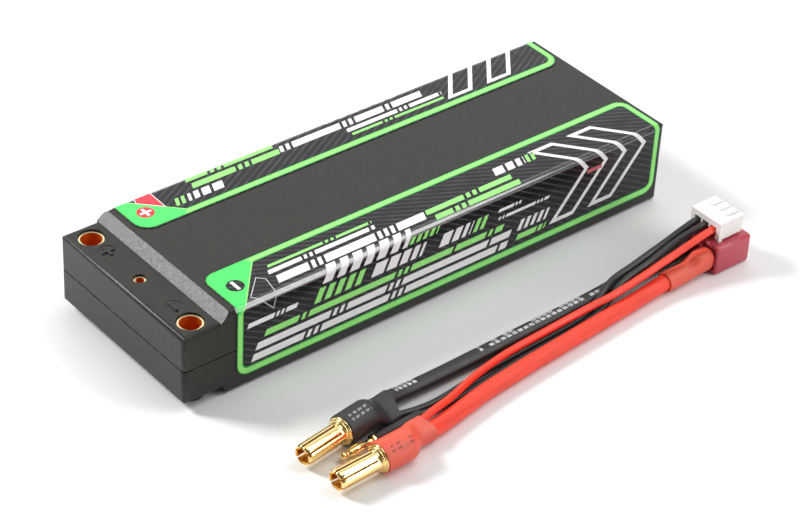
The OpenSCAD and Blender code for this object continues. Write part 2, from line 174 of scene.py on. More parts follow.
camera = bpy.data.objects.new("camera", bpy.data.cameras.new("camera"))
scene.collection.objects.link(camera)
camera.data.sensor_width = 36
camera.data.lens = 115.78
camera.data.clip_start = 0.01
camera.data.clip_end = 20
camera.location = mm(-314.38, -369.81, 348.82)
camera.rotation_euler = [math.radians(a) for a in (53.937, -2.679, -39.25)]
scene.camera = camera

# ---------------------------------------------------------------- sizes shared with the CAD

CASE_W, CASE_H, EDGE_R = 46.6, 21.6, 1.2
HALF_W = CASE_W / 2
FILM_T = 0.15
FILM_X0, FILM_X1, FILM_LOW_Z = -56, 68, 2.9
LABELS = {"minus": {"side": -1, "y": 9.5, "r": 3.4}, "plus": {"side": 1, "y": 11, "r": 4.2}}
SHRINK_R = 3.6
PLUGS = {
    "minus": {"at": (-49.6, -50.9, 3.6), "turn": 8, "far": [(1.1, -1, 2.2, 16.6), (-3.1, -2.2, 1.15, 15.2)]},
    "plus": {"at": (-48.8, -62.3, 3.6), "turn": 2, "far": [(1.2, -1.2, 2.25, 16.4), (3.1, 0.8, 1.15, 15.2)]},
    "balance": {"at": (-43.6, -55.1, 1.4), "turn": 3},
}
TEE_X0, TEE_L, TEE_Y0, TEE_W, TEE_H = 58.6, 10.7, -54.5, 13.5, 7.6
TEE_SHRINK_X0 = 44.8
CUP_Y = (-44.6, -51.5)
CUP_Z = TEE_H / 2
BAL_X0, BAL_WIRE_Z, CRIMP_IN = 60.3, 10.1, 1.2
PIN_Y = (-45.4, -47.9, -50.4)
MAIN_D, THIN_D = 3.8, 1.7
LEAD_IN = 1.2
ROUTE_STEP = 0.8

ROUTES = {
    "black_wire": [
        (-33, -47.4, 2.6), (-28, -47.1, 2.1), (-20, -47, 1.9), (-10, -46.8, 1.9), (4, -46.5, 1.9),
        (19, -46.2, 1.9), (28, -45.9, 1.9), (37, -45.3, 2), (TEE_SHRINK_X0, CUP_Y[0], 2.4),
    ],
    "red_wire": [
        (-32.3, -60.5, 2.4), (-28, -59.8, 2), (-21, -58.4, 1.9), (-13, -57, 1.9), (0, -55.5, 1.9),
        (12, -54.4, 1.9), (25, -53.2, 1.9), (36, -52.2, 2), (TEE_SHRINK_X0, CUP_Y[1], 2.4),
    ],
    "zero_wire": [
        (-34, -51.8, 1.4), (-29.5, -52.4, 1.1), (-24.5, -52.6, 0.9), (-18, -52, 0.9), (-9, -50.8, 0.9),
        (2, -50.1, 0.9), (14, -49.5, 0.9), (20, -49.2, 1.1), (24, -48.9, 2.1), (27, -48.3, 3.5),
        (30, -47.3, 4.5), (34, -46.1, 5), (40, -45.5, 5.5), (46, -45, 6.3), (51, -45, 7.5), (55.5, -45.2, 9),
        (BAL_X0 - 1.2, PIN_Y[0], BAL_WIRE_Z), (BAL_X0 + CRIMP_IN, PIN_Y[0], BAL_WIRE_Z),
    ],
    "middle_wire": [
        (-30.2, -54.4, 1.4), (-27, -54.6, 1.1), (-22, -54.6, 0.9), (-12, -53.6, 0.9), (0, -52.3, 0.9),
        (12, -51.5, 0.9), (20, -50.9, 0.9), (25, -50.3, 1.4), (29, -49.4, 2.7), (33, -48.4, 4.2),
        (37, -47.7, 5), (43, -47.1, 5.6), (49, -46.8, 7.1), (54.5, -47.1, 8.8),
        (BAL_X0 - 1.2, PIN_Y[1], BAL_WIRE_Z), (BAL_X0 + CRIMP_IN, PIN_Y[1], BAL_WIRE_Z),
    ],
    "full_wire": [
        (-33.6, -58.7, 4.4), (-29, -57.5, 4.3), (-22.5, -55.7, 3.6), (-14, -52.8, 3), (-3, -50.6, 2.8),
        (9, -49.8, 2.9), (18, -49.7, 3.4), (24, -50, 4.1), (30, -50.4, 4.8), (39, -49.8, 5.4),
        (48, -49.8, 7.2), (54, -50.1, 8.8), (BAL_X0 - 1.2, PIN_Y[2], BAL_WIRE_Z),
        (BAL_X0 + CRIMP_IN, PIN_Y[2], BAL_WIRE_Z),
    ],
}

# ---------------------------------------------------------------- materials


class Paint:
    """A Principled material and short ways to add procedural detail to it."""

    def __init__(self, name, color, rough, metallic=0.0, coat=0.0, spec=0.5):
        self.material = bpy.data.materials.new(name)
        self.material.use_nodes = True
        self.tree = self.material.node_tree
        self.shader = self.tree.nodes["Principled BSDF"]
        self.color = color
        for socket, value in (
            ("Base Color", (*color, 1)), ("Roughness", rough), ("Metallic", metallic),
            ("Coat Weight", coat), ("Coat Roughness", 0.06), ("Specular IOR Level", spec), ("IOR", 1.5),
        ):
            self.shader.inputs[socket].default_value = value
        self.coords = self.node("ShaderNodeTexCoord")

    def node(self, kind, inputs=None, **settings):
        made = self.tree.nodes.new(kind)
        for key, value in settings.items():
            setattr(made, key, value)
        for key, value in (inputs or {}).items():
            if isinstance(value, bpy.types.NodeSocket):
                self.tree.links.new(value, made.inputs[key])
            else:
                made.inputs[key].default_value = value
        return made

    def math(self, operation, *values):
        return self.node("ShaderNodeMath", dict(enumerate(values)), operation=operation).outputs[0]

    def noise(self, scale, detail=3, stretch=(1, 1, 1), space="Object"):
        """Noise from 0 to 1; scale is in cells for each metre, or for each mm in UV space."""
        place = self.node("ShaderNodeMapping", {"Vector": self.coords.outputs[space], "Scale": stretch})
        inputs = {"Vector": place.outputs[0], "Scale": scale, "Detail": detail, "Roughness": 0.5}
        return self.node("ShaderNodeTexNoise", inputs).outputs["Fac"]

    def ramp(self, value, low, high, to_low=0.0, to_high=1.0):
        inputs = {"Value": value, "From Min": low, "From Max": high, "To Min": to_low, "To Max": to_high}
        return self.node("ShaderNodeMapRange", inputs).outputs[0]

    def mix(self, factor, a, b):
        node = self.node("ShaderNodeMix", data_type="RGBA")
        for index, value in ((0, factor), (6, a), (7, b)):
            if isinstance(value, bpy.types.NodeSocket):
                self.tree.links.new(value, node.inputs[index])
            else:
                node.inputs[index].default_value = value if index == 0 else (*value, 1)
        return node.outputs[2]

    def feed(self, socket, value):
        self.tree.links.new(value, self.shader.inputs[socket])

    def mottle(self, scale, amount, stretch=(1, 1, 1)):
        """Base colour that wanders a little darker and lighter."""
        darker = [c * (1 - amount) for c in self.color]
        lighter = [min(1, c * (1 + amount)) for c in self.color]
        self.base = self.mix(self.ramp(self.noise(scale, 4, stretch), 0.3, 0.7), darker, lighter)
        self.feed("Base Color", self.base)

    def tint(self, factor, color):
        """Another colour laid over the base colour where factor is 1."""
        self.base = self.mix(factor, getattr(self, "base", self.color), color)
        self.feed("Base Color", self.base)

    def rough(self, scale, low, high, stretch=(1, 1, 1)):
        self.feed("Roughness", self.ramp(self.noise(scale, 4, stretch), 0.3, 0.7, low, high))

    def bump(self, height, depth, strength):
        """Bends the surface normal by a height field, depth in metres."""
        inputs = {"Height": height, "Distance": depth, "Strength": strength}
        self.feed("Normal", self.node("ShaderNodeBump", inputs).outputs[0])

    def edge(self, radius, low, high):
        """1 near convex and concave edges, 0 on open faces."""
        bevel = self.node("ShaderNodeBevel", {"Radius": radius}, samples=4).outputs[0]
        normal = self.node("ShaderNodeNewGeometry").outputs["Normal"]
        dot = self.node("ShaderNodeVectorMath", {0: bevel, 1: normal}, operation="DOT_PRODUCT")
        return self.ramp(dot.outputs["Value"], high, low)


def case_plastic():
    """Fine-grained black case, greyer on its edges: partly rubbed wear and partly a painted highlight along them."""
    p = Paint("case_plastic", (0.027, 0.027, 0.0235), 0.36, spec=0.25)
    p.mottle(900, 0.12)
    fleck = p.ramp(p.noise(9000, 2), 0.62, 0.75)
    p.tint(p.math("MULTIPLY", fleck, 0.35), (0.075, 0.075, 0.07))
    # Edge mask times patchy noise: the greyer tint on the edges is partly rubbed wear and partly a painted highlight.
    worn = p.math("MULTIPLY", p.edge(0.0004, 0.97, 0.999), p.ramp(p.noise(700, 5), 0.45, 0.7))
    p.tint(p.math("MULTIPLY", worn, 0.5), (0.16, 0.16, 0.15))
    p.rough(1500, 0.3, 0.38)
    p.bump(p.noise(5200, 3), 0.00003, 0.6)
    return p.material


def polished(name, color, rough):
    """Smooth plated or bare metal."""
    p = Paint(name, color, rough, metallic=1.0)
    p.mottle(500, 0.04)
    p.rough(600, rough * 0.85, rough * 1.25)
    return p.material


def socket_metal():
    """Pale gold where the surface faces up, on the rim; the deep orange everywhere else, down the bore, is painted
    shade of the bore.
    """
    p = Paint("socket_gold", (0.92, 0.28, 0.025), 0.24, metallic=0.7)
    # Painted shade: faces that don't point up, down the bore, keep the deep orange; up-facing faces take pale gold.
    up = p.node("ShaderNodeSeparateXYZ", {0: p.coords.outputs["Normal"]}).outputs[2]
    p.tint(p.ramp(up, 0.15, 0.5), (1.0, 0.8, 0.45))
    p.bump(p.noise(6000, 2, (1, 1, 0.08)), 0.000006, 0.5)
    return p.material


def stripes(p, slope, period, low, high):
    """0 to 1 across parallel diagonal lines on the film; slope is the rise in s for each step in x."""
    uv = p.node("ShaderNodeSeparateXYZ", {0: p.coords.outputs["UV"]})
    run = p.math("SUBTRACT", uv.outputs[1], p.math("MULTIPLY", uv.outputs[0], slope))
    phase = p.math("FRACT", p.math("DIVIDE", run, period))
    wave = p.math("ABSOLUTE", p.math("SUBTRACT", p.math("MULTIPLY", phase, 2.0), 1.0))
    return p.ramp(wave, low, high)


def film_black(name, coat, spec):
    """Black film with a carbon weave printed on it."""
    p = Paint(name, (0.008, 0.008, 0.01), 0.2, coat=coat, spec=spec)
    weave = stripes(p, 0.55, 1.7, 0.55, 0.9)
    cross = stripes(p, -1.9, 2.6, 0.3, 0.9)
    patchy = p.ramp(p.noise(0.16, 3, (1, 2.2, 1), "UV"), 0.35, 0.7)
    p.tint(p.math("MULTIPLY", weave, p.ramp(patchy, 0, 1, 0.35, 1.0)), (0.07, 0.07, 0.075))
    p.tint(p.math("MULTIPLY", cross, p.math("MULTIPLY", patchy, 0.3)), (0.045, 0.045, 0.05))
    p.rough(300, 0.14, 0.24)
    p.bump(p.noise(0.35, 3, (1, 1, 1), "UV"), 0.00005, 0.35)
    return p.material


def film_ink(name, color, hatch=None, period=0.62, slope=1.2, amount=1.0):
    """Printed colour, with the fine diagonal lines of the print where a hatch colour is given."""
    p = Paint(name, color, 0.24, coat=0.3, spec=0.35)
    p.mottle(260, 0.05)
    if hatch:
        p.tint(p.math("MULTIPLY", stripes(p, slope, period, 0.45, 0.75), amount), hatch)
    p.rough(300, 0.18, 0.3)
    p.bump(p.noise(0.35, 3, (1, 1, 1), "UV"), 0.00004, 0.3)
    return p.material


def marks(p, along, around, pitch, fill, seed):
    """Rows of small printed blocks on a tube; along and around are their ranges in mm and turns."""
    uv = p.node("ShaderNodeSeparateXYZ", {0: p.coords.outputs["UV"]})
    u, v = uv.outputs[0], uv.outputs[1]
    inside = p.math("MULTIPLY", p.math("GREATER_THAN", u, along[0]), p.math("LESS_THAN", u, along[1]))
    cell = p.math("DIVIDE", p.math("ADD", u, p.math("MULTIPLY", v, 3.0)), pitch)
    part = p.math("FRACT", cell)
    gap = p.math("LESS_THAN", part, fill)
    chance = p.node("ShaderNodeTexWhiteNoise", {"W": p.math("ADD", p.math("FLOOR", cell), seed)},
                    noise_dimensions="1D").outputs["Value"]
    low, high = around
    mid = (low + high) / 2
    tall = p.math("GREATER_THAN", chance, 0.35)
    upper = p.math("MULTIPLY", p.math("GREATER_THAN", v, mid + 0.012), p.math("LESS_THAN", v, high))
    lower = p.math("MULTIPLY", p.math("GREATER_THAN", v, low), p.math("LESS_THAN", v, mid - 0.012))
    band = p.math("MAXIMUM", p.math("MULTIPLY", upper, tall), lower)
    shown = p.math("GREATER_THAN", chance, 0.12)
    return p.math("MULTIPLY", p.math("MULTIPLY", inside, gap), p.math("MULTIPLY", band, shown))


def rubber(name, color, rough, ink=None, rows=()):
    """Silicone or heat shrink; rows are the marks printed on it."""
    p = Paint(name, color, rough, spec=0.45)
    p.mottle(500, 0.1, (0.3, 1, 1))
    for along, around, pitch, fill, seed in rows:
        worn = p.math("MULTIPLY", marks(p, along, around, pitch, fill, seed), p.ramp(p.noise(2500), 0.3, 0.5))
        p.tint(p.math("MULTIPLY", worn, 0.9), ink)
    p.rough(900, rough * 0.85, rough * 1.2, (0.3, 1, 1))
    p.bump(p.noise(3500, 2, (0.25, 1, 1)), 0.00001, 0.6)
    return p.material


def moulded(name, color, rough, mottle=0.06, spec=0.5):
    """Moulded plastic, paler along its edges: partly rubbed wear and partly a painted highlight."""
    p = Paint(name, color, rough, spec=spec)
    p.mottle(800, mottle)
    # Edge mask times patchy noise: the paler tint on the edges is partly rubbed wear and partly a painted highlight.
    worn = p.math("MULTIPLY", p.edge(0.00025, 0.95, 0.999), p.ramp(p.noise(1100, 4), 0.4, 0.7))
    p.tint(p.math("MULTIPLY", worn, 0.35), [min(1, c * 1.5 + 0.05) for c in color])
    p.rough(1300, rough * 0.85, rough * 1.2)
    p.bump(p.noise(3800, 2), 0.000012, 0.6)
    return p.material


CASE = case_plastic()
GOLD = polished("gold", (1.0, 0.73, 0.33), 0.17)
# Darker gold that stands for painted shade inside the bullet plugs.
GOLD_PAINTED_SHADE = polished("gold_deep", (0.72, 0.36, 0.06), 0.3)
COPPER = polished("copper", (0.86, 0.42, 0.22), 0.3)
SOCKET = socket_metal()
FILM_BLACK = film_black("film_black", 0.14, 0.18)
FILM_EDGE = film_black("film_edge", 1.0, 0.8)
FILM_GREEN = film_ink("film_green", (0.2, 0.74, 0.12), (0.44, 0.93, 0.3))
FILM_LINE_GREEN = film_ink("film_line_green", (0.03, 0.5, 0.05))
FILM_PLAIN_GREEN = film_ink("film_green_plain", (0.06, 0.78, 0.13))
FILM_WHITE = film_ink("film_white", (0.88, 0.88, 0.88), (0.7, 0.7, 0.71), 0.5, 1.6, 0.5)
FILM_RED = film_ink("film_red", (0.85, 0.02, 0.045), (0.75, 0.015, 0.03), 1.4, 0.6, 0.5)
FILM_GREY = film_ink("film_grey", (0.5, 0.5, 0.5))
FILM_PINK = film_ink("film_pink", (0.52, 0.12, 0.13))
BLACK_INK = (0.62, 0.64, 0.66)
RED_INK = (0.25, 0.03, 0.02)
BLACK_WIRE = rubber("black_silicone", (0.018, 0.018, 0.018), 0.38, BLACK_INK,
                    [((27, 64), (0.19, 0.34), 1.7, 0.72, 3), ((2.5, 9), (0.2, 0.36), 1.4, 0.66, 11)])
THIN_BLACK = rubber("thin_black_silicone", (0.02, 0.02, 0.02), 0.36)
RED_WIRE = rubber("red_silicone", (0.92, 0.05, 0.02), 0.36)
BLACK_SHRINK = rubber("black_shrink", (0.028, 0.028, 0.029), 0.44, (0.32, 0.34, 0.37),
                      [((2.4, 8.2), (0.26, 0.34), 1.5, 0.66, 5)])
RED_SHRINK = rubber("red_shrink", (0.78, 0.1, 0.055), 0.42, RED_INK,
                    [((1.5, 8.2), (0.31, 0.38), 1.7, 0.6, 8)])
SLEEVE = rubber("sleeve_shrink", (0.03, 0.024, 0.024), 0.5)
CRIMSON = moulded("crimson_nylon", (0.5, 0.055, 0.085), 0.34)
WHITE = moulded("white_nylon", (0.86, 0.83, 0.81), 0.38)
FOIL = polished("foil", (0.72, 0.73, 0.75), 0.3)
BOARD = moulded("board_green", (0.02, 0.12, 0.06), 0.4)
FOAM = moulded("foam_grey", (0.08, 0.08, 0.08), 0.9, 0.25, 0.2)

# ---------------------------------------------------------------- mesh helpers


def finish_mesh(name, mesh, body, slot, angle=35):
    """Smooth shading broken at sharp edges, then the object rides on its body."""
    mesh.validate()
    mesh.polygons.foreach_set("use_smooth", [True] * len(mesh.polygons))
    mesh.set_sharp_from_angle(angle=math.radians(angle))
    piece = bpy.data.objects.new(name, mesh)
    scene.collection.objects.link(piece)
    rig.ride(piece, body)
    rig.slot(piece, slot)
    return piece


class Shape:
    """Collects vertices, faces, their materials and UVs for one mesh. Points are in millimetres."""

    def __init__(self, *materials):
        self.materials = list(materials)
        self.verts, self.faces, self.indices, self.uvs = [], [], [], []

    def add(self, points, faces, material, uvs):
        start = len(self.verts)
        self.verts += [mm(*p) for p in points]
        for face in faces:
            self.faces.append([start + i for i in face])
            self.indices.append(self.materials.index(material))
            self.uvs += [uvs[i] for i in face]

    def loft(self, rings, uvs=None):
        """Skin over rings that have the same number of points; uvs gives one (u, v) list for each ring."""
        n = len(rings[0])
        start = len(self.verts)
        self.verts += [mm(*p) for ring in rings for p in ring]
        for i in range(len(rings) - 1):
            for k in range(n):
                k2 = (k + 1) % n
                self.faces.append([start + i * n + k, start + i * n + k2,
                                   start + (i + 1) * n + k2, start + (i + 1) * n + k])
                self.indices.append(0)
                if uvs:
                    v2 = uvs[i][k2][1] if k2 else uvs[i][k][1] + 1 / n
                    self.uvs += [uvs[i][k], (uvs[i][k2][0], v2), (uvs[i + 1][k2][0], v2), uvs[i + 1][k]]
                else:
                    self.uvs += [(0, 0)] * 4
        last = start + (len(rings) - 1) * n
        self.faces += [list(range(start, start + n))[::-1], list(range(last, last + n))]
        self.indices += [0, 0]
        self.uvs += [(0, 0)] * (2 * n)

    def build(self, name, body, slot, angle=35, matrix=None):
        mesh = bpy.data.meshes.new(name)
        mesh.from_pydata(self.verts, [], self.faces)
        layer = mesh.uv_layers.new(name="UVMap")
        layer.data.foreach_set("uv", [c for uv in self.uvs for c in uv])
        for m in self.materials:
            mesh.materials.append(m)
        mesh.polygons.foreach_set("material_index", self.indices)
        if matrix:
            mesh.transform(matrix)
        bm = bmesh.new()
        bm.from_mesh(mesh)
        bmesh.ops.remove_doubles(bm, verts=bm.verts, dist=1e-7)
        bmesh.ops.recalc_face_normals(bm, faces=bm.faces)
        bm.to_mesh(mesh)
        bm.free()
        return finish_mesh(name, mesh, body, slot, angle)


def placed(at, turn):
    """Matrix from a plug's own frame, with X along the plug towards its wires, to the scene."""
    return Matrix.Translation(mm(*at)) @ Matrix.Rotation(math.radians(turn), 4, "Z")


def turned(profile, n=48):
    """Rings of a profile of (x, r) points turned about the X axis."""
    return [[(x, r * math.cos(TAU * k / n), r * math.sin(TAU * k / n)) for k in range(n)] for x, r in profile]


def smooth_route(points):
    """Catmull-Rom curve through the points, with a sample about every ROUTE_STEP."""
    p = [Vector(q) for q in points]
    p = [2 * p[0] - p[1]] + p + [2 * p[-1] - p[-2]]
    line = []
    for a, b, c, d in zip(p, p[1:], p[2:], p[3:]):
        n = max(2, round((c - b).length / ROUTE_STEP))
        for i in range(n):
            t = i / n
            line.append(0.5 * (2 * b + (c - a) * t + (2 * a - 5 * b + 4 * c - d) * t * t
                               + (3 * b - a - 3 * c + d) * t ** 3))
    return line + [p[-2]]


def tube(name, route, diameter, material, slot):
    """Round wire along a route, with UVs in millimetres along it and in turns around it."""
    line = smooth_route(route)
    line.insert(0, line[0] + (line[0] - line[1]).normalized() * LEAD_IN)
    n, rings, uvs, run = 28, [], [], 0.0
    for i, c in enumerate(line):
        t = (line[min(i + 1, len(line) - 1)] - line[max(i - 1, 0)]).normalized()
        side = Vector((0, 0, 1)).cross(t).normalized()
        up = t.cross(side)
        if i:
            run += (c - line[i - 1]).length
        rings.append([c + diameter / 2 * (math.cos(TAU * k / n) * -side + math.sin(TAU * k / n) * up)
                      for k in range(n)])
        uvs.append([(run, k / n) for k in range(n)])
    shape = Shape(material)
    shape.loft(rings, uvs=uvs)
    piece = shape.build(name, "lead", slot)
    return piece, [mm(*c) for c in line]


# ---------------------------------------------------------------- cords

wires = {}
for name, diameter, material, slot in (
    ("black_wire", MAIN_D, BLACK_WIRE, "black_silicone"),
    ("red_wire", MAIN_D, RED_WIRE, "red_silicone"),
    ("zero_wire", THIN_D, THIN_BLACK, "black_silicone"),
    ("middle_wire", THIN_D, THIN_BLACK, "black_silicone"),
    ("full_wire", THIN_D, RED_WIRE, "red_silicone"),
):
    piece, line = tube(name + "_looks", ROUTES[name], diameter, material, slot)
    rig.replaces(piece, name)
    wires[name] = (piece, line, diameter)

# ---------------------------------------------------------------- labels


class Film:
    """The printed film of one side: x along the pack, s across it from the inner edge on the top face."""

    def __init__(self, side, y, r):
        self.side, self.y, self.r = side, y, r
        self.flat = HALF_W - EDGE_R - y
        self.turn_r = EDGE_R + FILM_T
        self.arc = self.turn_r * math.pi / 2
        self.length = self.flat + self.arc + CASE_H - EDGE_R - FILM_LOW_Z
        self.shape = Shape(FILM_BLACK, FILM_GREEN, FILM_LINE_GREEN, FILM_PLAIN_GREEN, FILM_WHITE, FILM_RED,
                           FILM_GREY, FILM_PINK, FILM_EDGE)

    def s_top(self, y):
        return y - self.y

    def s_side(self, z):
        return self.flat + self.arc + CASE_H - EDGE_R - z

    def point(self, x, s, h):
        if s <= self.flat:
            y, z = self.y + s, CASE_H + h
        elif s <= self.flat + self.arc:
            t = (s - self.flat) / self.turn_r
            y = HALF_W - EDGE_R + (EDGE_R + h) * math.sin(t)
            z = CASE_H - EDGE_R + (EDGE_R + h) * math.cos(t)
        else:
            y, z = HALF_W + h, CASE_H - EDGE_R - (s - self.flat - self.arc)
        return x, self.side * y, z

    def layer(self, polygons, material, low, high):
        """Thin solid from height low to high over each polygon, cut so that it can follow the round edge."""
        bm = bmesh.new()
        for polygon in polygons:
            bm.faces.new([bm.verts.new((x, s, 0)) for x, s in polygon])
        bmesh.ops.triangulate(bm, faces=bm.faces)
        cuts = 10
        for k in range(cuts + 1):
            s = self.flat + self.arc * k / cuts
            bmesh.ops.bisect_plane(bm, geom=bm.verts[:] + bm.edges[:] + bm.faces[:],
                                   plane_co=(0, s, 0), plane_no=(0, 1, 0), dist=1e-5)
        bmesh.ops.remove_doubles(bm, verts=bm.verts, dist=1e-4)
        bm.verts.index_update()
        flat = [(v.co.x, v.co.y) for v in bm.verts]
        n = len(flat)
        points = [self.point(x, s, high) for x, s in flat] + [self.point(x, s, low) for x, s in flat]
        faces = []
        for f in bm.faces:
            ids = [v.index for v in f.verts]
            faces += [ids, [i + n for i in reversed(ids)]]
        for e in bm.edges:
            if len(e.link_faces) == 1:
                a, b = (v.index for v in e.verts)
                faces.append([a, b, b + n, a + n])
        bm.free()
        self.shape.add(points, faces, material, flat + flat)

    def corner(self, inset, r):
        """Outline of the film, inset by so much, as a closed list of (x, s)."""
        x0, x1, s0, s1 = FILM_X0 + inset[0], FILM_X1 - inset[1], inset[2], self.length - inset[3]
        points = []
        turns = ((x1 - r, s1 - r, 0), (x0 + r, s1 - r, 90), (x0 + r, s0 + r, 180), (x1 - r, s0 + r, 270))
        for cx, cs, start in turns:
            for k in range(9):
                a = math.radians(start + 90 * k / 8)
                points.append((cx + r * math.cos(a), cs + r * math.sin(a)))
        return points


def ring(outer, inner):
    """Quads between two outlines with the same number of points."""
    n = len(outer)
    return [[outer[k], outer[(k + 1) % n], inner[(k + 1) % n], inner[k]] for k in range(n)]


def stroke(points, width, closed=True):
    """Quads along a line of (x, s) points, mitred where it turns."""
    p = [Vector(q) for q in points]
    n = len(p)
    left, right = [], []
    for i in range(n):
        before = p[i] - p[i - 1] if closed or i else p[1] - p[0]
        after = p[(i + 1) % n] - p[i] if closed or i < n - 1 else before
        u, v = before.normalized(), after.normalized()
        normal = Vector((-(u + v).y, (u + v).x)).normalized()
        reach = width / 2 / max(0.35, normal.dot(Vector((-u.y, u.x))))
        left.append(tuple(p[i] + normal * reach))
        right.append(tuple(p[i] - normal * reach))
    count = n if closed else n - 1
    return [[left[k], left[(k + 1) % n], right[(k + 1) % n], right[k]] for k in range(count)]


def blocks(x0, x1, s0, s1, widths, gap, lean):
    """Row of slanted blocks from x0 to x1; the edge at s0 is shifted by lean times the row's height."""
    out, x, i = [], x0, 0
    shift = lean * (s1 - s0)
    while x < x1:
        end = min(x + widths[i % len(widths)], x1)
        out.append([(x, s1), (end, s1), (end + shift, s0), (x + shift, s0)])
        x, i = end + gap, i + 1
    return out


def disc(cx, cs, r):
    return [(cx + r * math.cos(TAU * k / 32), cs + r * math.sin(TAU * k / 32)) for k in range(32)]


INK_T = 0.012


def border(f, inset):
    """Outline of the film at so much from its rim, a little further in along the bottom."""
    return f.corner((inset, inset, inset * 1.15, inset * 1.2), max(0.9, f.r - inset))


def print_label(f, lean, top_rows, extra):
    """Base film, border, green corner and all rows of blocks. Each row is
    (x0, x1, start, end, widths, gap, material), start and end in y on the top and in z on the side."""

    def ink(polygons, material, level=1):
        f.layer(polygons, material, FILM_T - 0.01, FILM_T + INK_T * level)

    f.layer([f.corner((0, 0, 0, 0), f.r)], FILM_BLACK, 0.0, FILM_T)
    ink(ring(border(f, 0.28), border(f, 1.84)), FILM_LINE_GREEN)
    ink(ring(border(f, 0.5), border(f, 1.6)), FILM_GREEN, 2)
    arc = [q for q in border(f, 0.5) if q[0] < -50 and q[1] < 6]
    edge_s = f.s_side(20.0)
    ink([[(-54.7, edge_s), (-55.5, edge_s)] + arc + [(-44.2, 0.5), (-43, 1.84)]], FILM_PLAIN_GREEN, 3)
    ink(stroke([(-54.7, edge_s), (-43, 1.84)], 0.3, False), FILM_GREEN, 4)
    for rows, to_s in ((top_rows, f.s_top), (SIDE_ROWS, f.s_side)):
        for x0, x1, a, b, widths, gap, material in rows:
            ink(blocks(x0, x1, to_s(a), to_s(b), widths, gap, lean), material, 2)
    for polygons, material, level in extra(f):
        ink(polygons, material, level)


SLASH = 1.1
SPLIT_A, SPLIT_B, SPLIT_C = (14, 1, 1, 19, 1, 1, 27), (20, 1, 1, 11, 1, 1, 25), (9, 1, 24, 1, 1, 12)
SIDE_ROWS = [
    (-52, 20.6, 7.7, 5.9, SPLIT_A, 0.9, FILM_WHITE),
    (-50.9, 21.4, 10.4, 8.6, SPLIT_B, 0.9, FILM_WHITE),
    (-48.6, 19, 13, 11.4, SPLIT_C, 0.9, FILM_GREEN),
    (-35.2, -22.4, 17.7, 14.1, (1.7,), SLASH, FILM_GREEN),
    (-19.4, -5, 17.7, 14.4, (3.4, 2.8, 2.2, 1.6, 1), 0.9, FILM_WHITE),
    (0, 9, 17.7, 14.4, (2.8, 2, 1.2, 0.7), 0.9, FILM_WHITE),
    (10, 13.6, 17.7, 14.4, (1.2,), 0.8, FILM_GREEN),
    (-53.2, -40, 16.6, 15.4, (7, 0.7, 0.7, 4), 0.6, FILM_WHITE),
    (17.4, 24.6, 17.7, 16.9, (4.6, 0.6, 0.6), 0.5, FILM_WHITE),
    (17.6, 33, 15.5, 14.7, (0.6, 0.6, 9), 0.5, FILM_WHITE),
    (23.8, 32.6, 12, 9.2, (1.1,), 0.9, FILM_WHITE),
    (23.6, 32.4, 8.1, 6.6, (6, 1.2), 0.6, FILM_GREEN),
]


def minus_extra(f):
    """Polarity mark, thin outline, slashes over the edge and the chevrons."""
    top, side = f.s_top, f.s_side
    yield [disc(-51.2, top(16.4), 2.05)], FILM_BLACK, 5
    yield [[(-51.6, top(14.8)), (-50.8, top(14.8)), (-50.8, top(18)), (-51.6, top(18))]], FILM_WHITE, 6
    kite = [(-45.9, top(16.6)), (-44.4, top(18.2)), (-46.2, side(18)), (-51, top(21.6))]
    yield stroke(kite, 0.22), FILM_GREY, 2
    yield blocks(-33, -9.4, top(21.6), side(18.6), (2.6, 2.2), 1.3, 0.45), FILM_WHITE, 3
    yield blocks(-8.8, -0.8, side(20.6), side(18.8), (1.1,), 0.8, 0.45), FILM_GREEN, 3
    yield from chevrons(f)


def chevrons(f):
    """Two plain outlined chevrons that cross the edge of the pack."""
    a, b = f.s_top(14.6), f.s_side(7.4)
    middle = (a + b) / 2
    for x in (35, 47.2):
        chevron = [(x, a), (x + 9.4, middle), (x, b), (x + 6.2, b), (x + 15.6, middle), (x + 6.2, a)]
        yield stroke(chevron, 1.05), FILM_WHITE, 2
    yield stroke([(44.8, f.s_side(17.4)), (49.4, f.s_side(17.4))], 1.0, False), FILM_PINK, 3


def plus_extra(f):
    """Polarity mark, red flag, slashes over the edge and the chevrons."""
    top, side = f.s_top, f.s_side
    x, s = -51.2, top(17)
    yield [disc(x, s, 2.05)], FILM_RED, 5
    for a, b, level in ((1.5, 0.36, 6), (0.36, 1.5, 7)):
        yield [[(x - a, s - b), (x + a, s - b), (x + a, s + b), (x - a, s + b)]], FILM_WHITE, level
    yield [[(-46.5, top(16.6)), (-46.3, side(19.6)), (-49.4, side(19.6)), (-50.8, top(21))]], FILM_RED, 4
    rim = [(-46.3, top(16.3)), (-46.1, side(19.4)), (-49.6, side(19.4)), (-51, top(21))]
    yield stroke(rim, 0.2), FILM_WHITE, 5
    yield blocks(5, 26, top(22.4), side(18.6), (2.6, 2.2), 1.3, -0.45), FILM_WHITE, 3
    yield from chevrons(f)


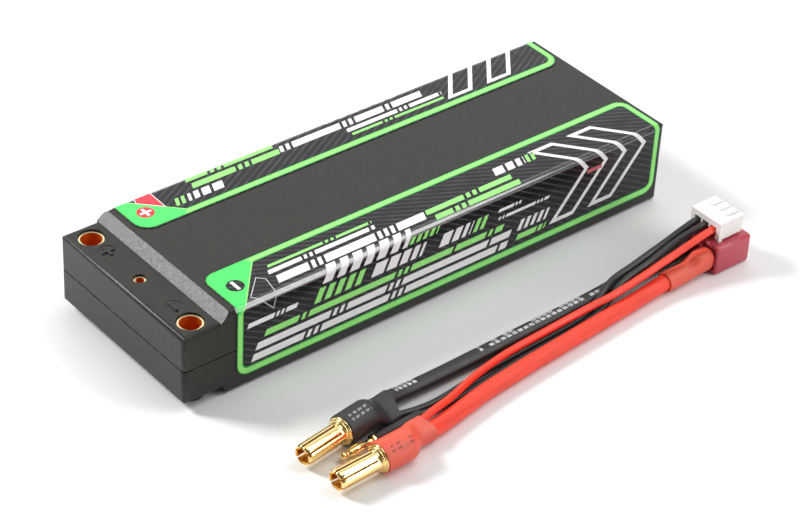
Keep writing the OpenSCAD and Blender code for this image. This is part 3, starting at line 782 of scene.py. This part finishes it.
MINUS_TOP = [
    (-42.9, -13.6, 16, 17.3, (9, 0.8, 0.8, 15), 0.7, FILM_WHITE),
    (-41.6, -13, 14.4, 15.2, (15, 0.8, 0.8, 9), 0.7, FILM_GREEN),
    (-43, -2, 18.5, 21, (8.5, 1, 1, 14, 1, 1, 1), 0.8, FILM_WHITE),
    (-1, 24.2, 18.4, 20, (11, 1.1, 1.1, 12), 0.8, FILM_GREEN),
    (-0.3, 24.6, 21, 22.6, (5, 1.1, 1.1, 18), 0.8, FILM_GREEN),
    (21.8, 31, 14.5, 17.1, (3, 2.2, 1.4, 0.8), 0.8, FILM_WHITE),
    (31.6, 34.4, 14.5, 17.1, (0.9,), 0.7, FILM_GREEN),
]
PLUS_TOP = [
    (-36.4, -12, 18.6, 20.4, (12, 1.1, 1.1, 11), 0.8, FILM_GREEN),
    (-36.4, -12, 21.4, 23.2, (6, 1.1, 1.1, 18), 0.8, FILM_GREEN),
    (-43, -40.4, 15, 17.6, (0.9,), 0.7, FILM_GREEN),
    (-39.6, -30, 15, 17.6, (0.8, 1.4, 2.2, 3), 0.8, FILM_WHITE),
    (-11.4, 30.6, 18.8, 21, (1, 1, 14, 1, 1, 8.5, 1, 9), 0.8, FILM_WHITE),
    (6, 34.6, 16.6, 17.9, (15, 0.8, 0.8, 9), 0.7, FILM_WHITE),
    (6, 34, 15, 15.8, (9, 0.8, 0.8, 15), 0.7, FILM_GREEN),
]


def label(name, lean, top_rows, extra):
    """One side's film, glossier where it wraps over the long edge of the case."""
    film = Film(LABELS[name]["side"], LABELS[name]["y"], LABELS[name]["r"])
    print_label(film, lean, top_rows, extra)
    piece = film.shape.build(name + "_label_print", "pack", "label_film", angle=30)
    low, high = mm(HALF_W - EDGE_R), mm(CASE_H - EDGE_R)
    for face in piece.data.polygons:
        if face.material_index == 0 and abs(face.center.y) > low and face.center.z > high:
            face.material_index = film.shape.materials.index(FILM_EDGE)
    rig.replaces(piece, name + "_label")


label("minus", 0.42, MINUS_TOP, minus_extra)
label("plus", -0.42, PLUS_TOP, plus_extra)

# ---------------------------------------------------------------- plugs and shrinks


def leaf(shape, stations, middle, half):
    """One sprung leaf: stations are (x, outer radius, inner radius), middle and half are in degrees."""
    arc, rings = 8, []
    for x, outer, inner in stations:
        section = []
        for k in range(arc + 1):
            share = 2 * k / arc - 1
            a = math.radians(middle + half * share)
            r = outer - 0.14 * (outer - inner) * abs(share) ** 8
            section.append((x, r * math.cos(a), r * math.sin(a)))
        for k in range(arc, -1, -1):
            a = math.radians(middle + half * (2 * k / arc - 1))
            section.append((x, inner * math.cos(a), inner * math.sin(a)))
        rings.append(section)
    shape.loft(rings)


def main_plug(name):
    """Bullet plug: six leaves round a hollow, two stepped rings and the solder cup, with painted shade inside: the
    hollow and the slot sides take a darker gold.
    """
    shape = Shape(GOLD, GOLD_PAINTED_SHADE)
    tip = [(-10.8, 2.0, 1.75), (-10.74, 2.14, 1.62), (-10.6, 2.27, 1.55), (-10.35, 2.37, 1.52),
           (-10, 2.43, 1.52), (-9.2, 2.45, 1.52), (-5, 2.45, 1.55), (-1.4, 2.42, 1.55), (-0.6, 2.4, 1.55)]
    for k in range(6):
        leaf(shape, tip, 22 + 30 + 60 * k, 24.6)
    # Painted shade: faces nearer the axis than 1.9 mm, inside the hollow and down the slot sides, take the darker
    # gold.
    outside = mm(1.9)
    for i, face in enumerate(shape.faces):
        if min(math.hypot(*shape.verts[k][1:]) for k in face) < outside:
            shape.indices[i] = 1
    shape.loft(turned([
        (-1.5, 0.02), (-1.5, 1.6), (-1.1, 1.7), (-0.95, 2.3), (-0.9, 2.42), (-0.1, 2.44), (0, 2.5),
        (0.02, 2.72), (0.1, 2.85), (0.22, 2.9), (0.42, 2.9), (0.48, 2.86), (0.5, 2.95), (0.54, 3.14),
        (0.62, 3.25), (0.74, 3.3), (1.1, 3.3), (1.22, 3.25), (1.3, 3.12), (1.32, 3.1), (8.2, 3.1),
        (8.2, 2.4), (3.4, 2.4), (3.4, 0.02),
    ], 64))
    plug = PLUGS[name]
    piece = shape.build(name + "_bullet", "lead", "gold", 40, placed(plug["at"], plug["turn"]))
    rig.replaces(piece, name + "_plug")


def balance_plug():
    """Thin banana plug: round nose, four bowed leaves, waist and ring."""
    shape = Shape(GOLD)
    bow = [(-7.2, 0.5, 0.3)]
    for k in range(1, 14):
        swell = math.sin(math.pi * k / 14)
        bow.append((-7.2 + 5.2 * k / 14, 0.62 + 0.46 * swell, 0.38 + 0.4 * swell))
    bow.append((-2, 0.6, 0.36))
    for k in range(4):
        leaf(shape, bow, 20 + 90 * k, 37)
    shape.loft(turned([
        (-9, 0.02), (-8.98, 0.25), (-8.88, 0.5), (-8.7, 0.68), (-8.4, 0.82), (-8.1, 0.85), (-7.8, 0.8),
        (-7.55, 0.66), (-7.4, 0.58), (-7.1, 0.6), (-6.9, 0.42), (-2.3, 0.42), (-2.1, 0.62), (-1.7, 0.66),
        (-1.5, 0.78), (-1.3, 0.82), (-0.5, 0.82), (-0.42, 0.95), (-0.4, 1.25), (-0.3, 1.38), (0.2, 1.38),
        (0.3, 1.25), (0.4, 1.0), (3, 1.0), (3, 0.02),
    ], 40))
    plug = PLUGS["balance"]
    piece = shape.build("balance_bullet", "lead", "gold", 40, placed(plug["at"], plug["turn"]))
    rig.replaces(piece, "balance_plug")


def smoothstep(t):
    t = max(0.0, min(1.0, t))
    return t * t * (3 - 2 * t)


def plug_shrink(name, material, slot):
    """Heat shrink over a plug's cup, drawn down over the two wires at its far end."""
    plug, n = PLUGS[name], 64
    stations = [(0.9, 0, 0.94), (0.92, 0, 0.975), (1.02, 0, 1), (3, 0, 1), (6, 0, 1), (8.2, 0, 1)]
    stations += [(8.2 + 4.4 * k / 12, smoothstep(k / 12), 1 - 0.012 * math.sin(math.pi * k / 12))
                 for k in range(1, 13)]
    stations += [(13.6, 1, 0.99), (14.6, 1, 1), (1, "end", 1), (1, "end", 0.93), (0.95, "end", 0.86)]
    rings, uvs = [], []
    for a, w, scale in stations:
        section, marks_at = [], []
        for k in range(n):
            angle = TAU * k / n
            d = Vector((math.cos(angle), math.sin(angle)))
            near = d * SHRINK_R
            side, up, r, reach = max(plug["far"], key=lambda c: d.x * c[0] + d.y * c[1] + c[2])
            far = Vector((side, up)) + d * r
            if w == "end":
                spot, x = Vector((side, up)) + d * r * scale, 14.6 + (reach - 14.6) * a
            else:
                spot, x = (near * (1 - w) + far * w) * scale, a
                x = min(x, reach)
            section.append((x, spot.x, spot.y))
            marks_at.append((x, k / n))
        rings.append(section)
        uvs.append(marks_at)
    shape = Shape(material)
    shape.loft(rings, uvs=uvs)
    piece = shape.build(name + "_shrink_looks", "lead", slot, 40, placed(plug["at"], plug["turn"]))
    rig.replaces(piece, name + "_shrink")


def balance_sleeve():
    plug = PLUGS["balance"]
    shape = Shape(SLEEVE)
    profile = [(0.4, 0.95), (0.42, 1.28), (0.55, 1.35), (3.2, 1.35), (4.2, 1.24), (5.5, 1.2), (11.5, 1.14),
               (12.6, 1.18), (13.35, 1.16), (13.4, 1.08), (13.3, 0.86)]
    shape.loft(turned(profile, 40))
    piece = shape.build("balance_sleeve_looks", "lead", "black_shrink", 40, placed(plug["at"], plug["turn"]))
    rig.replaces(piece, "balance_sleeve")


for name in ("minus", "plus"):
    main_plug(name)
balance_plug()
plug_shrink("minus", BLACK_SHRINK, "black_shrink")
plug_shrink("plus", RED_SHRINK, "red_shrink")
balance_sleeve()


def squarish(cy, cz, half_w, half_h, power):
    """Closed section between an ellipse, power 2, and a rounded rectangle, higher powers."""
    n, out = 48, []
    for k in range(n):
        a = TAU * k / n
        c, s = math.cos(a), math.sin(a)
        r = (abs(c) ** power + abs(s) ** power) ** (-1 / power)
        out.append((cy + half_w * r * c, cz + half_h * r * s))
    return out


def tee_shrink(name, y, material, slot):
    """Heat shrink from the heavy wire to the housing, swollen over the solder cup."""
    stations = [
        (44.85, 2.35, 2.05, 2.05, 2), (44.8, 2.35, 2.25, 2.25, 2), (44.88, 2.35, 2.33, 2.33, 2),
        (45.1, 2.35, 2.35, 2.35, 2), (48, 2.4, 2.34, 2.34, 2), (50.6, 2.5, 2.33, 2.33, 2),
        (51.8, 2.7, 2.3, 2.36, 2.1), (52.8, 3.05, 2.24, 2.45, 2.3), (53.6, 3.4, 2.2, 2.54, 2.7),
        (54.4, 3.7, 2.19, 2.6, 3.2), (55.4, 3.8, 2.2, 2.6, 3.6), (57.4, 3.8, 2.2, 2.6, 3.6),
        (58.1, 3.8, 2.18, 2.58, 3.2), (58.45, 3.8, 2.1, 2.5, 2.9), (58.6, 3.8, 1.95, 2.35, 2.8),
    ]
    rings = [[(x, *q) for q in squarish(y, z, w, h, power)] for x, z, w, h, power in stations]
    shape = Shape(material)
    shape.loft(rings)
    piece = shape.build(name + "_looks", "lead", slot, 45)
    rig.replaces(piece, name)


tee_shrink("tee_minus_shrink", CUP_Y[0], SLEEVE, "black_shrink")
tee_shrink("tee_plus_shrink", CUP_Y[1], RED_SHRINK, "red_shrink")

# ---------------------------------------------------------------- connectors


def section(y0, y1, z0, z1, radii, inset):
    """Rectangle in Y and Z with its own radius at each corner, all of it inset by the same amount."""
    y0, y1, z0, z1 = y0 + inset, y1 - inset, z0 + inset, z1 - inset
    arc, out = 10, []
    corners = ((y1, z1, -1, -1, 0), (y0, z1, 1, -1, 90), (y0, z0, 1, 1, 180), (y1, z0, -1, 1, 270))
    for (y, z, sy, sz, start), radius in zip(corners, radii):
        r = max(0.12, radius - inset)
        for k in range(arc + 1):
            a = math.radians(start + 90 * k / arc)
            out.append((y + sy * r + r * math.cos(a), z + sz * r + r * math.sin(a)))
    return out


def cut(piece, boxes):
    """Cuts boxes, given as (lowest, highest) corners in mm, out of a piece."""
    bm = bmesh.new()
    for low, high in boxes:
        size = [b - a for a, b in zip(low, high)]
        middle = [(a + b) / 2 for a, b in zip(low, high)]
        matrix = Matrix.Translation(mm(*middle)) @ Matrix.Diagonal((*mm(*size), 1))
        bmesh.ops.create_cube(bm, size=1, matrix=matrix)
    mesh = bpy.data.meshes.new("cutter")
    bm.to_mesh(mesh)
    bm.free()
    cutter = bpy.data.objects.new("cutter", mesh)
    scene.collection.objects.link(cutter)
    modifier = piece.modifiers.new("cut", "BOOLEAN")
    modifier.object, modifier.operation, modifier.solver = cutter, "DIFFERENCE", "EXACT"
    bpy.context.view_layer.update()
    result = bpy.data.meshes.new_from_object(piece.evaluated_get(bpy.context.evaluated_depsgraph_get()))
    piece.modifiers.clear()
    piece.data = result
    bpy.data.objects.remove(cutter)
    result.set_sharp_from_angle(angle=math.radians(35))


def tee_housing():
    """T connector: rounded block with a rim round its wire end and a crossed pair of slots at its mouth."""
    y1, x1 = TEE_Y0 + TEE_W, TEE_X0 + TEE_L
    radii = (TEE_H / 2, 0.9, 0.9, TEE_H / 2)
    profile = [(0.9, 1.05), (0.2, 1.05), (0.03, 0.98), (0, 0.85), (0, 0.5), (0.06, 0.28), (0.2, 0.1),
               (0.45, 0), (TEE_L - 0.45, 0), (TEE_L - 0.2, 0.08), (TEE_L - 0.06, 0.22), (TEE_L, 0.42)]
    rings = [[(TEE_X0 + x, *q) for q in section(TEE_Y0, y1, 0, TEE_H, radii, inset)] for x, inset in profile]
    shape = Shape(CRIMSON)
    shape.loft(rings)
    piece = shape.build("tee_housing_looks", "lead", "red_nylon", 38)
    depth = x1 - 8
    cut(piece, [
        ((depth, CUP_Y[1] - 0.75, CUP_Z - 2.8), (x1 + 1, CUP_Y[1] + 0.75, CUP_Z + 2.8)),
        ((depth, CUP_Y[0] - 3.8, CUP_Z - 0.75), (x1 + 1, CUP_Y[0] + 1.8, CUP_Z + 0.75)),
    ])
    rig.replaces(piece, "tee_housing")


tee_housing()

# ---------------------------------------------------------------- CAD nodes that stay


def dress(node, material, slot, bevel=0.0):
    """Material for a CAD node that stays, with its sharp edges eased where bevel gives a width in mm."""
    piece = frame["nodes"][node]
    piece.data.materials.clear()
    piece.data.materials.append(material)
    if bevel:
        weld = piece.modifiers.new("weld", "WELD")
        weld.merge_threshold = 1e-6
        ease = piece.modifiers.new("ease", "BEVEL")
        ease.width, ease.segments = mm(bevel), 2
        ease.limit_method, ease.angle_limit = "ANGLE", math.radians(38)
        ease.use_clamp_overlap = True
        ease.harden_normals = True
    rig.slot(piece, slot)


for node in ("upper_shell", "lower_shell"):
    dress(node, CASE, "case_plastic", 0.14)
dress("balance_housing", WHITE, "white_nylon", 0.16)
for node in ("plus_socket", "minus_socket", "balance_socket"):
    dress(node, SOCKET, "gold")
for node in ("tee_minus_contact", "tee_plus_contact", "crimp_zero", "crimp_middle", "crimp_full"):
    dress(node, GOLD, "gold")
for node in ("plus_tab", "minus_tab", "series_link"):
    dress(node, COPPER, "copper")
for node in ("cell_lower", "cell_upper"):
    dress(node, FOIL, "cell_pouch")
for node in ("foam_bottom", "foam_middle", "foam_top"):
    dress(node, FOAM, "foam")
dress("terminal_board", BOARD, "board")

# ---------------------------------------------------------------- what the cords are

CORD_PIECES = {
    "black_wire": ("minus_bullet", "minus_shrink_looks", "tee_minus_shrink_looks", "tee_minus_contact",
                   "tee_housing_looks"),
    "red_wire": ("plus_bullet", "plus_shrink_looks", "tee_plus_shrink_looks", "tee_plus_contact"),
    "zero_wire": ("crimp_zero", "balance_housing"),
    "middle_wire": ("balance_bullet", "balance_sleeve_looks", "crimp_middle"),
    "full_wire": ("crimp_full",),
}
for name, (piece, line, diameter) in wires.items():
    length = sum((b - a).length for a, b in zip(line, line[1:]))
    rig.cord(
        piece, exit=line[0], length=length, diameter=mm(diameter), far_end="connector", stiffness="limp",
        lay="loose", path=line, with_pieces=CORD_PIECES[name],
    )

# ---------------------------------------------------------------- floor and light

floor_mesh = bpy.data.meshes.new("floor")
floor_mesh.from_pydata([(-3, -3, 0), (3, -3, 0), (3, 3, 0), (-3, 3, 0)], [], [(0, 1, 2, 3)])
floor = bpy.data.objects.new("floor", floor_mesh)
floor.location.z = -0.00002
scene.collection.objects.link(floor)
floor_paint = Paint("floor_white", (0.9, 0.9, 0.9), 0.42, spec=0.3)
floor_paint.mottle(3, 0.01)
floor.data.materials.append(floor_paint.material)
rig.stage(floor)


def softbox(name, toward, distance, size, power, up=(0, 0, 1)):
    """Area light that shines from a direction at the object; its long side leans the way of up."""
    data = bpy.data.lights.new(name, "AREA")
    data.shape, data.size, data.size_y, data.energy = "RECTANGLE", size[0], size[1], power
    lamp = bpy.data.objects.new(name, data)
    way = Vector(toward).normalized()
    rise = (Vector(up) - way * way.dot(Vector(up))).normalized()
    turn = Matrix((rise.cross(way), rise, way)).transposed().to_4x4()
    lamp.matrix_world = Matrix.Translation(way * distance + Vector((0, 0, 0.01))) @ turn
    scene.collection.objects.link(lamp)


softbox("key_back_left", (-0.48, 0.62, 0.62), 1.1, (0.3, 0.3), 12.2)
softbox("wide_back_right", (0.53, 0.62, 0.58), 1.3, (1.9, 1.2), 8)
softbox("streak_front_right", (0.508, -0.65, 0.565), 0.9, (0.2, 1.35), 5.6, (0, 0.727, 0.686))
softbox("overhead", (0.2, -0.1, 1.0), 1.3, (0.8, 0.8), 4.0)

world = bpy.data.worlds.new("studio")
world.use_nodes = True
world.node_tree.nodes["Background"].inputs[0].default_value = (1, 1, 1, 1)
world.node_tree.nodes["Background"].inputs[1].default_value = 0.12
scene.world = world
scene.view_settings.view_transform = "Standard"

with open("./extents.json", "w") as out:
    json.dump({"cad": [list(c) for c in cad_bounds], "visual": [list(c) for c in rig.bounds()]}, out)
